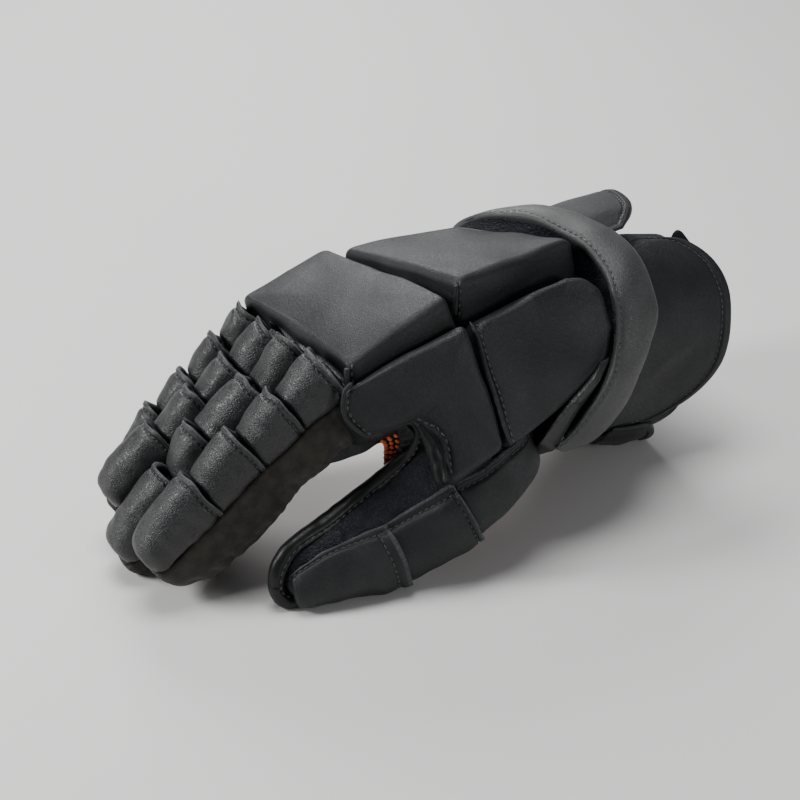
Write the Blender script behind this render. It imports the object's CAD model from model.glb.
# %% [markdown]
# A padded fencing glove, dressed in leather.
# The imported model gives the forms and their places. This script adds what those solids leave plain: leather
# skins with their grain, rolled and stitched edges, the nap of suede, and the dots of the grip cloth.
# Shapes are drawn in millimetres, in the glove's own drawing, and one function moves them to the frame's
# metres.

# %% Load the fixed frame
import math

import bmesh
import bpy
import numpy as np
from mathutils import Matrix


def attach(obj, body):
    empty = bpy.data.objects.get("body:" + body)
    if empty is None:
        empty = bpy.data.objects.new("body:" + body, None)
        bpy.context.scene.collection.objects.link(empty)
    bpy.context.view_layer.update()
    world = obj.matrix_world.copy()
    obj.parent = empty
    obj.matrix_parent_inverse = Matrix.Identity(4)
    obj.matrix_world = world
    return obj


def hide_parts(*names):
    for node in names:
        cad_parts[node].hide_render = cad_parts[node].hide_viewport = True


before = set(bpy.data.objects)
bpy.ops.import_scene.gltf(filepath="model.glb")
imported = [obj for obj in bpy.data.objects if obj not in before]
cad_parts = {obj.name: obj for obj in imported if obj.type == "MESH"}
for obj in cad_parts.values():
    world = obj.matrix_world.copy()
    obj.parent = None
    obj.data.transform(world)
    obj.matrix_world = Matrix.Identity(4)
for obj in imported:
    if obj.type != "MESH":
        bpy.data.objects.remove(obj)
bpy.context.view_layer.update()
MM = 0.001
CENTRE = np.array([6.7, -3.8, 0.0])  # the drawing's point that lies over the frame's origin
GAP = 0.4  # between neighbouring pieces
print("nodes", len(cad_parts))


def to_frame(points):
    """Metres in the frame, from millimetres in the drawing."""
    return (np.asarray(points, float) - CENTRE) * MM


# %% [markdown]
# The camera stands where the photographer stood: to the left of the thumb's side and a little above, with a
# long lens. A camera is a turned box, so its three axes are worked out from the two angles and set as one
# matrix.

# %% Camera
from mathutils import Matrix, Vector

AZIMUTH, ELEVATION = math.radians(-25), math.radians(30)
DISTANCE, LENS, SENSOR = 0.95, 95, 36
LOOK_AT = to_frame((0, 0, 50))


def make_camera():
    back = Vector((
        math.sin(AZIMUTH) * math.cos(ELEVATION),
        -math.cos(AZIMUTH) * math.cos(ELEVATION),
        math.sin(ELEVATION),
    ))
    right = Vector((math.cos(AZIMUTH), math.sin(AZIMUTH), 0))
    up = back.cross(right)
    place = Vector(LOOK_AT) + back * DISTANCE
    camera = bpy.data.objects.new("camera", bpy.data.cameras.new("camera"))
    camera.data.lens = LENS
    camera.data.sensor_width = SENSOR
    camera.data.clip_start = 0.01
    camera.matrix_world = Matrix.Translation(place) @ Matrix((right, up, back)).transposed().to_4x4()
    bpy.context.collection.objects.link(camera)
    bpy.context.scene.camera = camera


make_camera()

# %% [markdown]
# Black leather shows its form only by reflections, so the light comes from large soft panels: one high
# behind the glove for the band, one on the left for the pads, a weak one low in front for the thumb, and
# one overhead.

# %% Floor and lights
FLOOR_SIZE, FLOOR_TONE, FLOOR_ROUGH = 6.0, (0.66, 0.65, 0.64, 1), 0.8
# name, place in metres, size in metres, power in watts
LIGHTS = (
    ("panel_back", (0.2, 0.95, 0.75), 0.6, 10),
    ("panel_left", (-0.9, 0.25, 0.6), 0.35, 11),
    ("panel_front", (0.5, -0.9, 0.35), 0.3, 3),
    ("panel_top", (-0.1, 0.1, 1.3), 0.7, 14),
)
WORLD_TONE, WORLD_STRENGTH = (0.92, 0.95, 1.0, 1), 0.14


def bare_material(name):
    """A material and its shader."""
    material = bpy.data.materials.new(name)
    material.use_nodes = True
    return material, material.node_tree.nodes["Principled BSDF"]


def make_floor():
    bpy.ops.mesh.primitive_plane_add(size=FLOOR_SIZE)
    floor = bpy.context.object
    floor.name = "floor"
    material, shader = bare_material("pale_floor")
    shader.inputs["Base Color"].default_value = FLOOR_TONE
    shader.inputs["Roughness"].default_value = FLOOR_ROUGH
    floor.data.materials.append(material)


def make_light(name, place, size, power):
    lamp = bpy.data.lights.new(name, "AREA")
    lamp.shape = "DISK"
    lamp.size = size
    lamp.energy = power
    light = bpy.data.objects.new(name, lamp)
    light.location = place
    light.rotation_euler = (Vector(LOOK_AT) - Vector(place)).to_track_quat("-Z", "Y").to_euler()
    bpy.context.collection.objects.link(light)


def make_world():
    world = bpy.data.worlds.new("studio")
    world.use_nodes = True
    sky = world.node_tree.nodes["Background"]
    sky.inputs["Color"].default_value = WORLD_TONE
    sky.inputs["Strength"].default_value = WORLD_STRENGTH
    bpy.context.scene.world = world


make_floor()
make_world()
for light in LIGHTS:
    make_light(*light)

# %% [markdown]
# Leather is made by layering a few simple patterns. Grain is a field of small rounded cells with creases
# between them, and mottling is soft noise of two sizes. Both are groups, so that every leather uses the
# same hide at its own scale. The groups give out heights and masks, and the shader stays in each material.

# %% Small helpers for node trees
def new_group(name, inputs, outputs):
    """A shader group. Its inputs are (name, default), and a default of None makes a vector socket."""
    group = bpy.data.node_groups.new(name, "ShaderNodeTree")
    for label, value in inputs:
        kind = "NodeSocketVector" if value is None else "NodeSocketFloat"
        socket = group.interface.new_socket(label, in_out="INPUT", socket_type=kind)
        if value is not None:
            socket.default_value = value
    for label in outputs:
        group.interface.new_socket(label, in_out="OUTPUT", socket_type="NodeSocketFloat")
    return group, group.nodes.new("NodeGroupInput"), group.nodes.new("NodeGroupOutput")


def add_node(tree, kind, values=(), links=()):
    """A node with its properties and socket values, joined to what feeds it."""
    node = tree.nodes.new(kind)
    for key, value in dict(values).items():
        if hasattr(node, key) and key not in node.inputs:
            setattr(node, key, value)
        else:
            node.inputs[key].default_value = value
    for key, source in dict(links).items():
        tree.links.new(source, node.inputs[key])
    return node


def maths(tree, operation, a, b=None, clamp=False):
    """The output of one sum: a and b are sockets or numbers."""
    node = tree.nodes.new("ShaderNodeMath")
    node.operation = operation
    node.use_clamp = clamp
    for index, value in enumerate((a, b)):
        if value is None:
            continue
        if isinstance(value, (int, float)):
            node.inputs[index].default_value = value
        else:
            tree.links.new(value, node.inputs[index])
    return node.outputs[0]


def remap(tree, value, low, high, to_low=0.0, to_high=1.0):
    """A smooth ramp from one range to another."""
    node = add_node(tree, "ShaderNodeMapRange", {"interpolation_type": "SMOOTHSTEP"}, {"Value": value})
    for key, number in (("From Min", low), ("From Max", high), ("To Min", to_low), ("To Max", to_high)):
        node.inputs[key].default_value = number
    return node.outputs["Result"]


# %% Shared effects: hide grain and mottling
def make_grain_group():
    """Rounded cells with creases between them; Height is 1 on the cells, and Crease is 1 between them."""
    inputs = [("Vector", None), ("Cells per metre", 900.0), ("Wander", 0.0011)]
    group, source, sink = new_group("hide_grain", inputs, ["Height", "Crease"])
    drift = add_node(group, "ShaderNodeTexNoise", {"Scale": 450.0, "Detail": 2.0}, {
        "Vector": source.outputs["Vector"],
    })
    shift = add_node(group, "ShaderNodeVectorMath", {"operation": "SCALE"}, {
        "Vector": drift.outputs["Color"], "Scale": source.outputs["Wander"],
    })
    place = group.nodes.new("ShaderNodeVectorMath")
    group.links.new(source.outputs["Vector"], place.inputs[0])
    group.links.new(shift.outputs[0], place.inputs[1])
    cells = add_node(group, "ShaderNodeTexVoronoi", {"feature": "SMOOTH_F1", "Smoothness": 0.45}, {
        "Vector": place.outputs[0], "Scale": source.outputs["Cells per metre"],
    })
    group.links.new(remap(group, cells.outputs["Distance"], 0.1, 0.75, 1.0, 0.0), sink.inputs["Height"])
    group.links.new(remap(group, cells.outputs["Distance"], 0.4, 0.7), sink.inputs["Crease"])
    return group


def make_mottle_group():
    """Broad and fine blotches between 0 and 1, as dye and handling leave them."""
    inputs = [("Vector", None), ("Blotches per metre", 60.0)]
    group, source, sink = new_group("mottle", inputs, ["Broad", "Fine"])
    broad = add_node(group, "ShaderNodeTexNoise", {"Detail": 3.0}, {
        "Vector": source.outputs["Vector"], "Scale": source.outputs["Blotches per metre"],
    })
    finer = maths(group, "MULTIPLY", source.outputs["Blotches per metre"], 14.0)
    fine = add_node(group, "ShaderNodeTexNoise", {"Detail": 4.0}, {
        "Vector": source.outputs["Vector"], "Scale": finer,
    })
    group.links.new(remap(group, broad.outputs["Fac"], 0.3, 0.7), sink.inputs["Broad"])
    group.links.new(remap(group, fine.outputs["Fac"], 0.3, 0.7), sink.inputs["Fine"])
    return group


GRAIN = make_grain_group()
MOTTLE = make_mottle_group()


# %% The leathers and cloths
def use_group(tree, group, vector, **values):
    node = tree.nodes.new("ShaderNodeGroup")
    node.node_tree = group
    tree.links.new(vector, node.inputs["Vector"])
    for key, value in values.items():
        node.inputs[key.replace("_", " ")].default_value = value
    return node


def between(tree, factor, dark, light):
    """A colour between two, by a factor."""
    node = tree.nodes.new("ShaderNodeMix")
    node.data_type = "RGBA"
    tree.links.new(factor, node.inputs["Factor"])
    for key, colour in (("A", dark), ("B", light)):
        socket = [s for s in node.inputs if s.name == key and s.type == "RGBA"][0]
        if isinstance(colour, tuple):
            socket.default_value = (*colour, 1)
        else:
            tree.links.new(colour, socket)
    return [s for s in node.outputs if s.type == "RGBA"][0]


def new_material(name):
    """A material, its tree, its shader, and the piece's own coordinates."""
    material, shader = bare_material(name)
    tree = material.node_tree
    return material, tree, shader, tree.nodes.new("ShaderNodeTexCoord").outputs["Object"]


def feel(shader, gloss, sheen, sheen_rough):
    """How a hide or cloth answers light: its gloss, and the soft sheen of its fibres."""
    shader.inputs["Specular IOR Level"].default_value = gloss
    shader.inputs["Sheen Weight"].default_value = sheen
    shader.inputs["Sheen Roughness"].default_value = sheen_rough


WORN = (0.06, 0.067, 0.072)  # tone of cut and rubbed edges
CREASE = {"share": 0.55, "tone": 0.35}  # how much of a crease shows, and its tone as a share of the dark one
EDGE_DULL = 0.25  # how much rougher a worn edge is


def leather(name, dark, light, rough, gloss, grain, depth, stretch=(1, 1, 1), sheen=0.02):
    """Grained leather, between a dark and a light tone. grain is the cells per metre, depth their height in
    metres, and stretch draws them out along one way."""
    material, tree, shader, place = new_material(name)
    drawn = add_node(tree, "ShaderNodeMapping", {"Scale": stretch}, {"Vector": place}).outputs[0]
    hide = use_group(tree, GRAIN, drawn, Cells_per_metre=grain)
    blotch = use_group(tree, MOTTLE, place)
    edge = add_node(tree, "ShaderNodeAttribute", {"attribute_name": "edge"}).outputs["Fac"]
    tone = between(tree, blotch.outputs["Broad"], dark, light)
    crease = maths(tree, "MULTIPLY", hide.outputs["Crease"], CREASE["share"])
    creased = between(tree, crease, tone, tuple(c * CREASE["tone"] for c in dark))
    ragged = remap(tree, blotch.outputs["Fine"], 0.1, 0.9, 0.45, 1.0)
    frayed = maths(tree, "MULTIPLY", edge, ragged, clamp=True)
    tree.links.new(between(tree, frayed, creased, WORN), shader.inputs["Base Color"])
    shine = remap(tree, blotch.outputs["Fine"], 0.0, 1.0, rough - 0.05, rough + 0.07)
    dull = maths(tree, "ADD", shine, maths(tree, "MULTIPLY", edge, EDGE_DULL), clamp=True)
    tree.links.new(dull, shader.inputs["Roughness"])
    mound = maths(tree, "ADD", hide.outputs["Height"], maths(tree, "MULTIPLY", blotch.outputs["Fine"], 0.2))
    bump = add_node(tree, "ShaderNodeBump", {"Strength": 0.9, "Distance": depth}, {"Height": mound})
    tree.links.new(bump.outputs[0], shader.inputs["Normal"])
    feel(shader, gloss, sheen, 0.5)
    return material


def napped(name, dark, light, rough, fibres, depth, sheen=0.35):
    """Suede or felted cloth: short fibres that catch light at the edges."""
    material, tree, shader, place = new_material(name)
    blotch = use_group(tree, MOTTLE, place, Blotches_per_metre=170.0)
    fuzz = add_node(tree, "ShaderNodeTexNoise", {"Scale": fibres, "Detail": 6.0, "Roughness": 0.7}, {
        "Vector": place,
    })
    nap = maths(tree, "ADD", maths(tree, "MULTIPLY", blotch.outputs["Broad"], 0.55),
                maths(tree, "MULTIPLY", fuzz.outputs["Fac"], 0.45))
    tree.links.new(between(tree, nap, dark, light), shader.inputs["Base Color"])
    bump = add_node(tree, "ShaderNodeBump", {"Strength": 0.8, "Distance": depth}, {
        "Height": fuzz.outputs["Fac"],
    })
    tree.links.new(bump.outputs[0], shader.inputs["Normal"])
    shader.inputs["Roughness"].default_value = rough
    feel(shader, 0.25, sheen, 0.4)
    return material


def plain(name, colour, rough, sheen=0.0):
    material, shader = bare_material(name)
    shader.inputs["Base Color"].default_value = (*colour, 1)
    shader.inputs["Roughness"].default_value = rough
    shader.inputs["Sheen Weight"].default_value = sheen
    return material


PEBBLED = leather("pebbled_leather", (0.0066, 0.0074, 0.0082), (0.0113, 0.0123, 0.0135),
                  rough=0.43, gloss=0.5, grain=1650, depth=0.00014, stretch=(1.25, 0.85, 1.25))
SMOOTH = leather("smooth_leather", (0.0064, 0.0075, 0.0086), (0.0098, 0.0113, 0.0129),
                 rough=0.5, gloss=0.34, grain=2400, depth=0.00008)
BANDED = leather("band_leather", (0.027, 0.0282, 0.0292), (0.038, 0.0393, 0.0403),
                 rough=0.45, gloss=0.45, grain=2200, depth=0.00008, stretch=(1.5, 1, 1), sheen=0.08)
BINDING = leather("binding_leather", (0.003, 0.0034, 0.004), (0.005, 0.0055, 0.006),
                  rough=0.4, gloss=0.28, grain=2400, depth=0.00003)
NAVY = leather("dark_blue_leather", (0.003, 0.0042, 0.008), (0.0055, 0.0075, 0.0135),
               rough=0.5, gloss=0.25, grain=1200, depth=0.0003)
SUEDE = napped("suede", (0.0105, 0.0102, 0.0088), (0.04, 0.038, 0.0322), 0.95, 1300, 0.0006, 0.12)
LINING = napped("lining_cloth", (0.008, 0.009, 0.012), (0.014, 0.016, 0.021), 0.9, 3000, 0.00025, 0.1)
GRIP_CLOTH = napped("grip_cloth", (0.008, 0.008, 0.008), (0.014, 0.014, 0.014), 0.85, 3400, 0.0003, 0.05)
DOT_RUBBER = plain("dot_rubber", (0.9, 0.19, 0.06), 0.5)
THREAD = plain("black_thread", (0.019, 0.0195, 0.0205), 0.45, 0.3)

# %% [markdown]
# Most pieces are lofts: rings of points, one after another, joined by quads. Tables give a few rings, and a
# curve through them gives the rest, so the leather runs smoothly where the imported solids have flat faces.

# %% Tables, curves and lofts
def table(columns, *rows):
    """Named columns of numbers, one row for each section."""
    return {name: np.array(values, float) for name, values in zip(columns.split(), zip(*rows))}


def unit(vectors):
    return vectors / np.maximum(np.linalg.norm(vectors, axis=-1, keepdims=True), 1e-9)


def blend(a, b, t):
    return a + (b - a) * t


def through(values, t):
    """Values at places t between rows, on a smooth curve that passes through every row."""
    values = np.asarray(values, float)
    t = np.asarray(t, float)
    last = len(values) - 1
    i = np.clip(np.floor(t).astype(int), 0, last - 1)
    f = (t - i).reshape(t.shape + (1,) * (values.ndim - 1))
    a, b, c, d = (values[np.clip(i + k, 0, last)] for k in (-1, 0, 1, 2))
    return 0.5 * (2 * b + (c - a) * f + (2 * a - 5 * b + 4 * c - d) * f**2 + (3 * b - a - 3 * c + d) * f**3)


def spread(values, count):
    """count values on the smooth curve through the rows, from the first row to the last."""
    return through(values, np.linspace(0, len(values) - 1, count))


def finer(columns, count):
    """A table with count rows, on the smooth curves through its own."""
    return {name: spread(values, count) for name, values in columns.items()}


def on_table(points, lift=0.0):
    """Leather that would dip under the table lies flat on it."""
    points[..., 2] = np.maximum(points[..., 2], lift)
    return points


def closed_line(points, count):
    """count points evenly spaced on a closed smooth line through the given ones."""
    points = np.asarray(points, float)
    n = len(points)
    padded = np.concatenate([points[-2:], points, points[:3]])
    dense = through(padded, np.linspace(2, n + 2, 40 * n + 1))
    return evenly(dense, count + 1)[:-1]


def evenly(line, count):
    """count points evenly spaced along a line."""
    gone = np.concatenate([[0], np.cumsum(np.linalg.norm(np.diff(line, axis=0), axis=1))])
    at = np.linspace(0, gone[-1], count)
    return np.stack([np.interp(at, gone, line[:, k]) for k in range(line.shape[1])], 1)


def make_mesh(name, points, faces, edge=None):
    """A mesh object from drawing millimetres. edge is 1 where leather is cut or rubbed."""
    mesh = bpy.data.meshes.new(name)
    mesh.from_pydata(to_frame(points).tolist(), [], [tuple(face) for face in faces])
    if edge is not None:
        worn = mesh.attributes.new("edge", "FLOAT", "POINT")
        worn.data.foreach_set("value", np.asarray(edge, np.float32).ravel())
    mesh.shade_smooth()
    piece = bpy.data.objects.new(name, mesh)
    bpy.context.collection.objects.link(piece)
    return piece


def face_outwards(piece):
    """Turns all faces round if a closed mesh is inside out."""
    body = bmesh.new()
    body.from_mesh(piece.data)
    if body.calc_volume(signed=True) < 0:
        bmesh.ops.reverse_faces(body, faces=body.faces)
        body.to_mesh(piece.data)
    body.free()


def loft(name, rings, ends="poles", edge=None):
    """A closed body through rings of equal length. Its ends close at a pole, as a loop from last ring to
    first, or as a strip, whose rings are an outer line and then an inner line walked back."""
    rings = np.asarray(rings, float)
    count, sides, _ = rings.shape
    points = rings.reshape(-1, 3)
    edge = np.zeros(len(points)) if edge is None else np.broadcast_to(edge, (count, sides)).ravel()
    i = np.arange(sides)
    j = (i + 1) % sides
    faces = []
    for r in range(count if ends == "loop" else count - 1):
        a, b = r * sides, ((r + 1) % count) * sides
        faces.extend(np.stack([a + i, a + j, b + j, b + i], 1).tolist())
    last = (count - 1) * sides
    if ends == "poles":
        points = np.vstack([points, rings[0].mean(0), rings[-1].mean(0)])
        edge = np.append(edge, [edge[0], edge[-1]])
        first_pole, last_pole = count * sides, count * sides + 1
        faces.extend(np.stack([j, i, np.full(sides, first_pole)], 1).tolist())
        faces.extend(np.stack([last + i, last + j, np.full(sides, last_pole)], 1).tolist())
    if ends == "strip":
        k = np.arange(sides // 2 - 1)
        faces.extend(np.stack([k + 1, k, sides - 1 - k, sides - 2 - k], 1).tolist())
        end = last + sides - 1
        faces.extend(np.stack([last + k, last + k + 1, end - 1 - k, end - k], 1).tolist())
    piece = make_mesh(name, points, faces, edge)
    face_outwards(piece)
    return piece


def skin_and_back(name, outer, inner, edge=None):
    """A closed sheet between the rows of its outer side and those of its inner side."""
    return loft(name, np.concatenate([outer, inner[:, ::-1]], 1), ends="strip", edge=edge)


# %% [markdown]
# A piece is finished on its bare mesh. Booleans cut it clear of its neighbours, soft waves and pressed
# grooves move its points, and then it gets its material and its place in the frame. Fixed seeds make each
# run the same.

# %% Finishing a piece
WAVES, WAVE_SUM = 18, 4.2  # how many waves make a random field, and what brings their sum to about one


def settle(piece):
    """Bakes a piece's modifiers into its mesh."""
    shaped = piece.evaluated_get(bpy.context.evaluated_depsgraph_get())
    mesh = bpy.data.meshes.new_from_object(shaped)
    piece.modifiers.clear()
    piece.data = mesh


def largest_body(piece):
    """Keeps a mesh's largest body, without the slivers that a cut can leave."""
    body = bmesh.new()
    body.from_mesh(piece.data)
    seen, best = set(), []
    for start in body.verts:
        if start in seen:
            continue
        group, queue = [], [start]
        seen.add(start)
        while queue:
            vertex = queue.pop()
            group.append(vertex)
            for link in vertex.link_edges:
                other = link.other_vert(vertex)
                if other not in seen:
                    seen.add(other)
                    queue.append(other)
        if len(group) > len(best):
            best = group
    keep = set(best)
    bmesh.ops.delete(body, geom=[v for v in body.verts if v not in keep], context="VERTS")
    body.to_mesh(piece.data)
    body.free()


def carve(piece, *tools):
    """Cuts the tools' forms out of a piece and keeps its largest body."""
    for tool in tools:
        cut = piece.modifiers.new("cut", "BOOLEAN")
        cut.object = tool
        cut.operation = "DIFFERENCE"
        cut.solver = "MANIFOLD"
    settle(piece)
    largest_body(piece)
    piece.data.shade_smooth()
    return piece


def waves(points, size, seed):
    """A smooth random field between about -1 and 1, whose hills are size millimetres apart."""
    rng = np.random.default_rng(seed)
    total = np.zeros(len(points))
    for _ in range(WAVES):
        way = unit(rng.normal(size=3)) * (2 * np.pi / (size * rng.uniform(0.7, 1.6)))
        total += np.sin(points @ way + rng.uniform(0, 2 * np.pi))
    return total / WAVE_SUM


def ripple(piece, size, height, seed, where=None):
    """Moves a piece's points along their normals by soft waves. where weighs each point by its normal."""
    drawn, normal = get_places(piece), get_normals(piece)
    push = waves(drawn, size, seed) * height
    if where is not None:
        push = push * where(normal)
    set_places(piece, drawn + normal * push[:, None])
    return piece


def press(piece, line, depth, wide):
    """Presses a groove along a line into a piece, or raises a ridge where depth is negative."""
    drawn, normal = get_places(piece), get_normals(piece)
    line = evenly(np.asarray(line, float), 200)
    near = np.full(len(drawn), 1e9)
    for point in line:
        near = np.minimum(near, ((drawn - point) ** 2).sum(1))
    set_places(piece, drawn - normal * (depth * np.exp(-near / wide**2))[:, None])
    return piece


def read_vectors(items, key):
    values = np.empty(len(items) * 3)
    items.foreach_get(key, values)
    return values.reshape(-1, 3)


def get_places(piece):
    """A piece's points, in drawing millimetres."""
    return read_vectors(piece.data.vertices, "co") / MM + CENTRE


def get_normals(piece):
    return read_vectors(piece.data.vertex_normals, "vector")


def set_places(piece, drawn):
    piece.data.vertices.foreach_set("co", to_frame(on_table(drawn)).ravel())
    piece.data.update()


def wander(points, size=34, amount=0.55):
    """Points moved by one soft random field. Neighbours move together, so that no gap opens."""
    return points + amount * np.stack([waves(points, size, seed) for seed in (101, 102, 103)], -1)


def dress(piece, material, nodes=(), soft=True):
    """Gives a finished piece its material, its body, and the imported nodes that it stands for."""
    drawn = get_places(piece)
    set_places(piece, wander(drawn) if soft else drawn)
    piece.data.materials.clear()
    piece.data.materials.append(material)
    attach(piece, "root")
    if nodes:
        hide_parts(*nodes)
    print(piece.name, len(piece.data.polygons), "faces")
    return piece


def discard(*tools):
    """Removes forms that only cut others."""
    for tool in tools:
        bpy.data.objects.remove(tool)


# %% [markdown]
# Stitches are the same small cord of thread again and again, so Geometry Nodes lay them: each seam is a
# curve, the curve becomes evenly spaced points, and each point gets a short thread turned along the seam.

# %% The stitch tree
def new_tree(name, numbers, material):
    """A Geometry Nodes tree with inputs for geometry, for some numbers and for a material, all by name."""
    tree = bpy.data.node_groups.new(name, "GeometryNodeTree")
    tree.interface.new_socket("Geometry", in_out="INPUT", socket_type="NodeSocketGeometry")
    for label, value in numbers:
        tree.interface.new_socket(label, in_out="INPUT", socket_type="NodeSocketFloat").default_value = value
    tree.interface.new_socket(material, in_out="INPUT", socket_type="NodeSocketMaterial")
    tree.interface.new_socket("Geometry", in_out="OUTPUT", socket_type="NodeSocketGeometry")
    return tree, tree.nodes.new("NodeGroupInput").outputs, tree.nodes.new("NodeGroupOutput").inputs


def small_ball(tree, segments, rings):
    values = {"Segments": segments, "Rings": rings, "Radius": 1.0}
    return add_node(tree, "GeometryNodeMeshUVSphere", values).outputs["Mesh"]


def end_tree(tree, laid, material, sink):
    """Makes the laid instances real, dyes them and hands them out."""
    real = add_node(tree, "GeometryNodeRealizeInstances", {}, {"Geometry": laid.outputs[0]})
    dyed = add_node(tree, "GeometryNodeSetMaterial", {}, {"Geometry": real.outputs[0], "Material": material})
    tree.links.new(dyed.outputs[0], sink["Geometry"])


def make_stitch_tree():
    numbers = (("Spacing", 0.003), ("Length", 0.0019), ("Radius", 0.00028))
    tree, source, sink = new_tree("stitches", numbers, "Thread")
    spaced = add_node(tree, "GeometryNodeCurveToPoints", {"mode": "LENGTH"}, {
        "Curve": source["Geometry"], "Length": source["Spacing"],
    })
    size = add_node(tree, "ShaderNodeCombineXYZ", {}, {
        "X": source["Radius"], "Y": source["Radius"], "Z": maths(tree, "MULTIPLY", source["Length"], 0.5),
    })
    laid = add_node(tree, "GeometryNodeInstanceOnPoints", {}, {
        "Points": spaced.outputs["Points"], "Instance": small_ball(tree, 6, 4),
        "Rotation": spaced.outputs["Rotation"], "Scale": size.outputs[0],
    })
    end_tree(tree, laid, source["Thread"], sink)
    return tree


STITCHES = make_stitch_tree()


def set_inputs(modifier, values):
    """Sets a tree's inputs by their identifiers."""
    for item in modifier.node_group.interface.items_tree:
        if item.in_out == "INPUT" and item.name in values:
            modifier[item.identifier] = values[item.name]


def made_plain(maker, name):
    """What a maker's tree makes, as an object with a plain mesh. The maker isn't kept."""
    mesh = bpy.data.meshes.new_from_object(maker.evaluated_get(bpy.context.evaluated_depsgraph_get()))
    bpy.data.objects.remove(maker)
    piece = bpy.data.objects.new(name, mesh)
    bpy.context.collection.objects.link(piece)
    mesh.shade_smooth()
    return piece


def laid_on(line, pieces, lift=0.12, count=160):
    """A line of drawing points, laid on the nearest of some dressed pieces."""
    bpy.context.view_layer.update()
    laid = []
    for point in to_frame(wander(evenly(np.asarray(line, float), count))):
        hits = [piece.closest_point_on_mesh(Vector(point)) for piece in pieces]
        _, place, normal, _ = min(hits, key=lambda hit: (hit[1] - Vector(point)).length)
        laid.append(place + normal * lift * MM)
    return np.array(laid) / MM + CENTRE


def stitch(name, lines, spacing=3.0, length=2.1, radius=0.4, on=()):
    """Stitches along lines of drawing points, as one mesh, laid on dressed pieces if those are given."""
    if on:
        lines = [laid_on(line, on) for line in lines]
    curve = bpy.data.curves.new(name, "CURVE")
    curve.dimensions = "3D"
    for line in lines:
        spline = curve.splines.new("POLY")
        spline.points.add(len(line) - 1)
        placed = np.c_[to_frame(line), np.ones(len(line))]
        spline.points.foreach_set("co", placed.ravel())
    seam = bpy.data.objects.new(name, curve)
    bpy.context.collection.objects.link(seam)
    sewn = seam.modifiers.new("stitches", "NODES")
    sewn.node_group = STITCHES
    sizes = {"Spacing": spacing * MM, "Length": length * MM, "Radius": radius * MM}
    set_inputs(sewn, {**sizes, "Thread": THREAD})
    return dress(made_plain(seam, name), THREAD, soft=not on)


# %% [markdown]
# A finger of the glove is a suede tube, the stall, that is worn bent. Four leather pads ride on its back
# like the plates of a gauntlet. Both follow one middle line, a chain of four lengths, each with its own
# slope.

# %% Middle line of a finger
FINGERS = {
    "index": {"knuckle": (-42, -34.4, 84), "yaw": 0.8, "width": 24.4, "over": 13, "under": 17,
              "lengths": (24, 21.5, 26.5, 38.5), "pitches": (34.5, 35.5, 41, 40), "sag": (2, 4, 5, 7, 4)},
    "middle": {"knuckle": (-43, -8.8, 84), "yaw": 0.2, "width": 24, "over": 13, "under": 16,
               "lengths": (27, 29, 22, 42), "pitches": (42, 31, 54, 40), "sag": (1, 2, 2, 2, 1)},
    "ring": {"knuckle": (-45, 16.2, 77), "yaw": -0.2, "width": 23.6, "over": 12.5, "under": 16,
             "lengths": (22.5, 20.5, 24.5, 35.5), "pitches": (35.5, 36, 35, 33), "sag": (1, 2, 2, 2, 1)},
    "little": {"knuckle": (-45, 39.9, 74.5), "yaw": -0.6, "width": 21.8, "over": 12, "under": 15,
               "lengths": (17.5, 20, 20, 31), "pitches": (37.5, 42, 43, 47), "sag": (1, 2, 2, 2, 1)},
}


def middle_line(finger, s):
    """Points, and the sideways and upward directions there. s counts lengths from the knuckle."""
    yaw, pitch = math.radians(finger["yaw"]), np.radians(finger["pitches"])
    runs = np.stack([-np.cos(pitch) * math.cos(yaw), np.cos(pitch) * math.sin(yaw), -np.sin(pitch)], 1)
    steps = np.cumsum(runs * np.array(finger["lengths"], float)[:, None], 0)
    joints = np.array(finger["knuckle"], float) + np.vstack([np.zeros(3), steps])
    along = unit(np.vstack([runs[:1], runs]) + np.vstack([runs, runs[-1:]]))
    side = unit(np.cross([0, 0, 1.0], along))
    up = unit(np.cross(along, side))
    s = np.asarray(s, float)
    j = np.clip(np.floor(s).astype(int), 0, len(pitch) - 1)
    t = (s - j)[..., None]
    point, across, upward = (blend(values[j], values[j + 1], t) for values in (joints, side, up))
    return point, unit(across), unit(upward)


def sections(finger, s, side, up):
    """Rings round the middle line: side and up are millimetres, one row for each place s."""
    point, across, upward = middle_line(finger, s)
    return point[:, None] + across[:, None] * side[..., None] + upward[:, None] * up[..., None]


# %% Stall: the suede tube of a finger
# Half of its cross-section, from the palm side to the back: side as a share of half the width, and up as a
# share of under or over. The step halfway up is where the pads' lower edges lie.
HALF_SECTION = [(0, -1), (0.58, -0.95), (0.92, -0.66), (1, -0.2), (1, 0.26), (0.8, 0.36), (0.74, 0.68),
                (0.46, 0.94), (0, 1)]
STALL = {
    "wall": 1.6, "sides": 112, "rings": 300, "tip_rings": 42, "inner_rings": 30, "inner_end": 3.93,
    "tip_from": 3.4, "round_from": 3.5, "end": 4.06, "last": 0.95, "roundness": 2.6,
}
SEAM_AT, SEAM_WIDE = 0.78, 0.2  # the palm side's seam as a share of under, and how wide its puckers reach
BELOW = -50  # a form that only cuts reaches down to here, through the table


def stall_size(s):
    """Share of full size along a finger: almost full, then a rounded tip."""
    body = np.interp(s, [0, 1, 2, 3, STALL["round_from"]], [1, 1, 0.99, 0.98, STALL["last"]])
    t = np.clip((s - STALL["round_from"]) / (STALL["end"] - STALL["round_from"]), 0, 0.995)
    power = STALL["roundness"]
    return body * (1 - t**power) ** (1 / power)


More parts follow.
